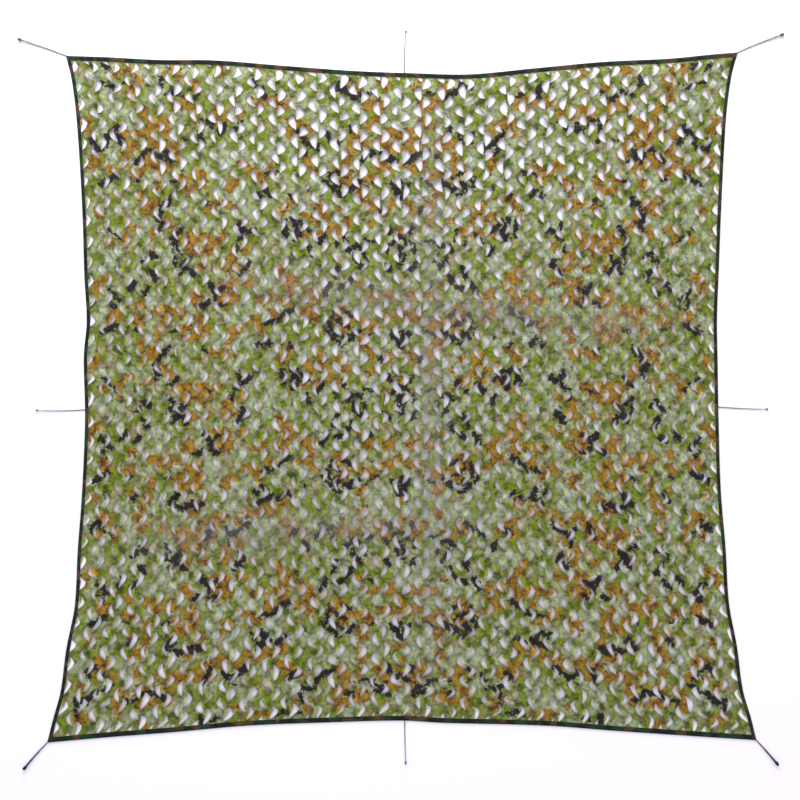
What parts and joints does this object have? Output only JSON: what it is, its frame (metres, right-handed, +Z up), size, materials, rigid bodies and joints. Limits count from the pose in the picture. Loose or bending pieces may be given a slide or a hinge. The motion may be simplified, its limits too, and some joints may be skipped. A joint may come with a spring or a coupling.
{
  "type": "camouflage net",
  "caption": "Square leaf-cut camouflage net spread flat, with drawn-in edges, a folded edge binding, and knotted tie cords at its corners and edge middles.",
  "frame": {"origin": "middle of the net's underside, on the surface that the net lies on", "axes": "+Z up out of the cloth, +Y towards the net's top edge, +X towards its right edge"},
  "size_m": [3.4277, 3.2234, 0.013],
  "materials": {
    "net_cloth": "matte printed cloth in pale sage, leaf green, ochre and near-black",
    "binding_cloth": "matte doubled cloth, printed in dark green, near-black and brown",
    "cord_olive": "matte twisted cord, olive grey",
    "cord_charcoal": "matte twisted cord, charcoal",
    "cord_grey": "matte thin cord, grey"
  },
  "bodies": {
    "root": {"net_cloth": "net_cloth", "binding_top": "binding_cloth", "binding_bottom": "binding_cloth", "binding_left": "binding_cloth", "binding_right": "binding_cloth", "tie_top_left": "cord_olive", "knot_top_left": "cord_olive", "tie_top_right": "cord_olive", "knot_top_right": "cord_olive", "tie_bottom_left": "cord_charcoal", "knot_bottom_left": "cord_charcoal", "tie_bottom_right": "cord_charcoal", "knot_bottom_right": "cord_charcoal", "tie_top_edge": "cord_grey", "knot_top_edge": "cord_grey", "tie_bottom_edge": "cord_grey", "knot_bottom_edge": "cord_grey", "tie_left_edge": "cord_grey", "knot_left_edge": "cord_grey", "tie_right_edge": "cord_grey", "knot_right_edge": "cord_grey"}
  },
  "joints": []
}
